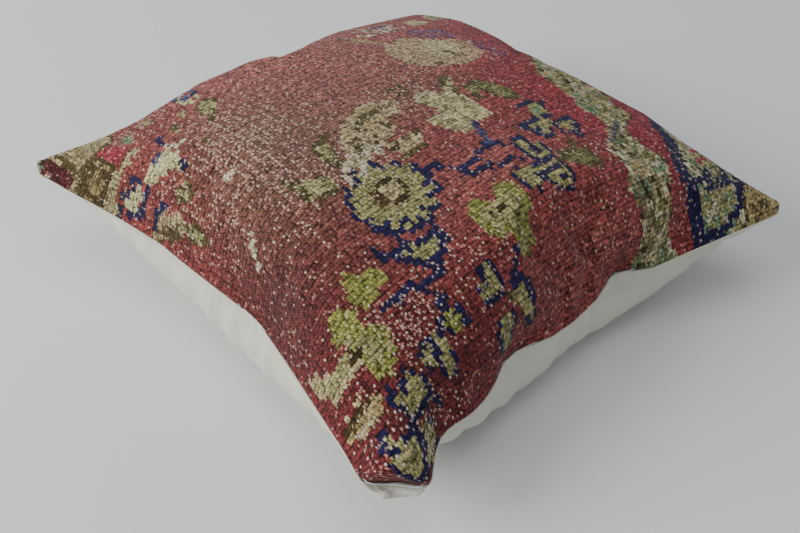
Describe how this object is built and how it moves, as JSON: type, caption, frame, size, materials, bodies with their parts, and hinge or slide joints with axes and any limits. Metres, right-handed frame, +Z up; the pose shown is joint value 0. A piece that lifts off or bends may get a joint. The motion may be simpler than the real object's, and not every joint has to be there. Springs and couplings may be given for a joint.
{
  "type": "throw pillow",
  "caption": "Square throw pillow with an old knotted-rug face, a plain cotton back with a hidden zip, and a fibre-filled insert.",
  "frame": {"origin": "middle of the underside, on the surface that the pillow lies on", "axes": "+Z up out of the rug face; +X along the zip, from its closed end to its open end; +Y towards the edge with the zip"},
  "size_m": [0.385, 0.385, 0.1363],
  "materials": {
    "wool_rug": "matt worn wool pile, hand knotted",
    "cotton_cover": "matt plain-weave cotton, unbleached",
    "sewing_thread": "spun polyester thread",
    "zip_tape": "woven polyester tape",
    "zip_coil": "satin nylon coil",
    "zip_metal": "dull nickel plate",
    "insert_casing": "white cotton shell",
    "fibre_fill": "loose siliconised polyester fibre"
  },
  "bodies": {
    "pillow": {"rug_panel": "wool_rug", "back_panel_main": "cotton_cover", "back_panel_strip": "cotton_cover", "edge_stitching": "sewing_thread", "insert_casing_top": "insert_casing", "insert_casing_bottom": "insert_casing", "insert_stitching": "sewing_thread", "fibre_fill": "fibre_fill", "zip_tape_main": "zip_tape", "zip_tape_strip": "zip_tape", "zip_coil_main": "zip_coil", "zip_coil_strip": "zip_coil", "zip_stitching_main": "sewing_thread", "zip_stitching_strip": "sewing_thread", "zip_top_stop_main": "zip_metal", "zip_top_stop_strip": "zip_metal", "zip_bottom_stop": "zip_metal"},
    "slider": {"zip_slider": "zip_metal"},
    "pull_tab": {"zip_pull_tab": "zip_metal"}
  },
  "joints": [
    {"name": "zip_slide", "type": "slide", "parent": "pillow", "child": "slider", "axis": [1, 0, 0], "range_m": [0, 0.256]},
    {"name": "pull_tab_swing", "type": "hinge", "parent": "slider", "child": "pull_tab", "pos_m": [-0.13, 0.15238, 0.02605], "axis": [0, 0.5736, 0.8192], "range_deg": [-85, 85]}
  ]
}
